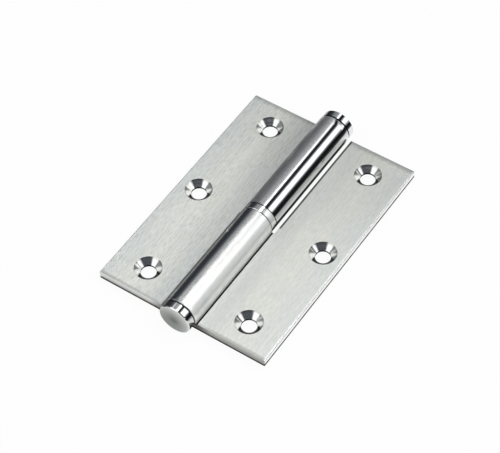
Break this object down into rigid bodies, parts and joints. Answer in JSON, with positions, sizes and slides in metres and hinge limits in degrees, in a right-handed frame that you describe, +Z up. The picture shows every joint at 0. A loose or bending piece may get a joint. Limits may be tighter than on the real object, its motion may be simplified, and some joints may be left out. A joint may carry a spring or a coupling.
{
  "type": "lift-off butt hinge",
  "caption": "Stainless lift-off butt hinge with square-cornered leaves, a split rolled barrel, a thrust ring and turned end caps, lying open.",
  "frame": {"origin": "under the middle of the barrel, on the surface that the barrel rests on", "axes": "+Y along the pin towards the lifting leaf's knuckle, +X towards the leaf that holds the pin, +Z up, the countersunk side"},
  "size_m": [0.07, 0.107, 0.0131],
  "materials": {
    "leaf_sheet": "brushed lengthwise",
    "pin_steel": "ground",
    "turned_steel": "turned and polished"
  },
  "bodies": {
    "fixed_side": {"pin_leaf": "leaf_sheet", "hinge_pin": "pin_steel", "pin_side_cap": "turned_steel"},
    "ring": {"thrust_ring": "turned_steel"},
    "lifting_side": {"lift_leaf": "leaf_sheet", "lift_side_cap": "turned_steel"}
  },
  "joints": [
    {"name": "swing", "type": "hinge", "parent": "fixed_side", "child": "ring", "pos_m": [0, 0, 0.00655], "axis": [0, 1, 0], "range_deg": [-110, 185]},
    {"name": "lift_off", "type": "slide", "parent": "ring", "child": "lifting_side", "axis": [0, 1, 0], "range_m": [0, 0.045]}
  ]
}
